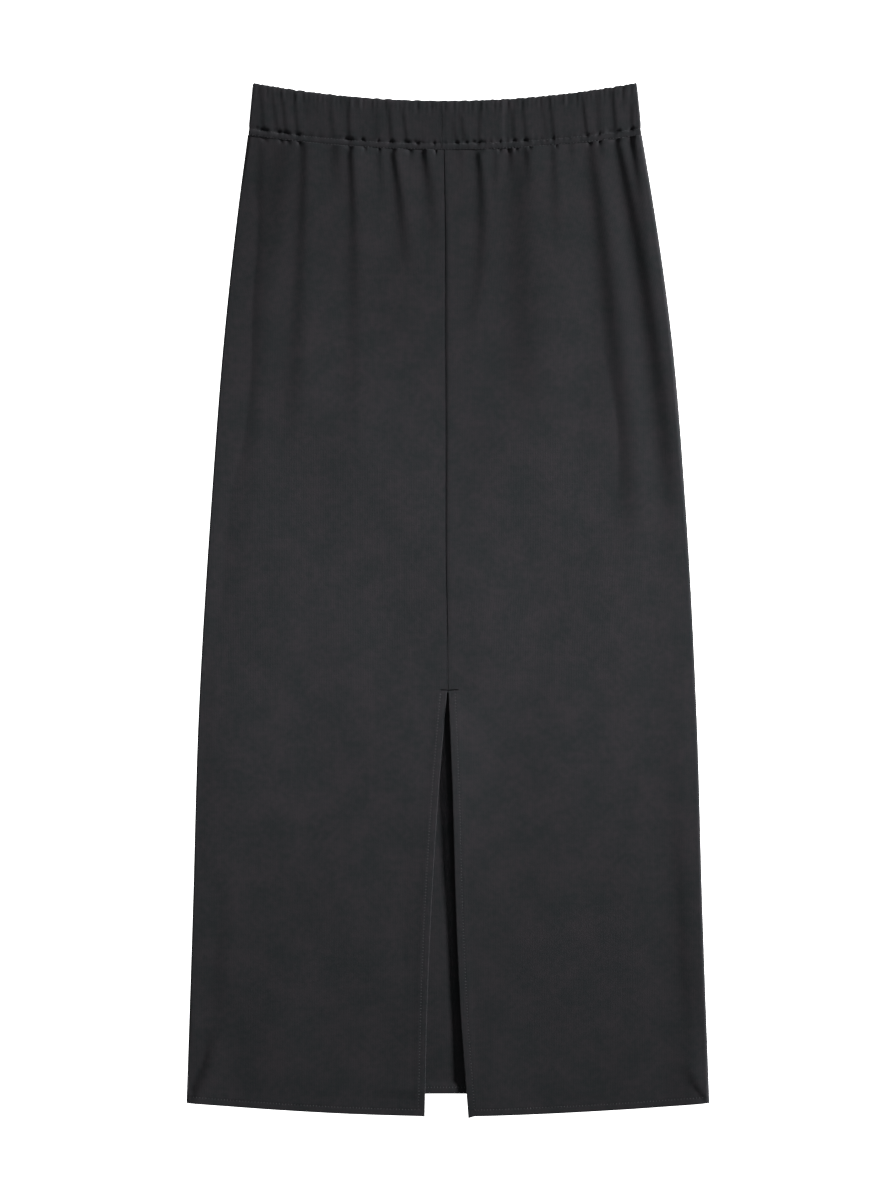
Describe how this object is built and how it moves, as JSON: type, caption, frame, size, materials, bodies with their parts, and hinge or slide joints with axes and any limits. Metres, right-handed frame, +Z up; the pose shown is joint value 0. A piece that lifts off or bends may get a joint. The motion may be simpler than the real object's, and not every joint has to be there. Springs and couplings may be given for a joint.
{
  "type": "jersey skirt",
  "caption": "Long charcoal jersey skirt laid flat, with a gathered elastic waistband, a centre front seam and a front slit.",
  "frame": {"origin": "middle of the flat-laid skirt's length and width, on the surface that it lies on", "axes": "+Z up from that surface, through the front; +Y along the skirt from hem to waist; +X to the right as seen from above"},
  "size_m": [0.4624, 0.9165, 0.0076],
  "materials": {
    "jersey": "matt heavy cotton jersey, charcoal"
  },
  "bodies": {
    "root": {"front_left": "jersey", "front_right": "jersey", "back": "jersey", "waistband_front_left": "jersey", "waistband_front_right": "jersey", "waistband_back": "jersey"}
  },
  "joints": []
}
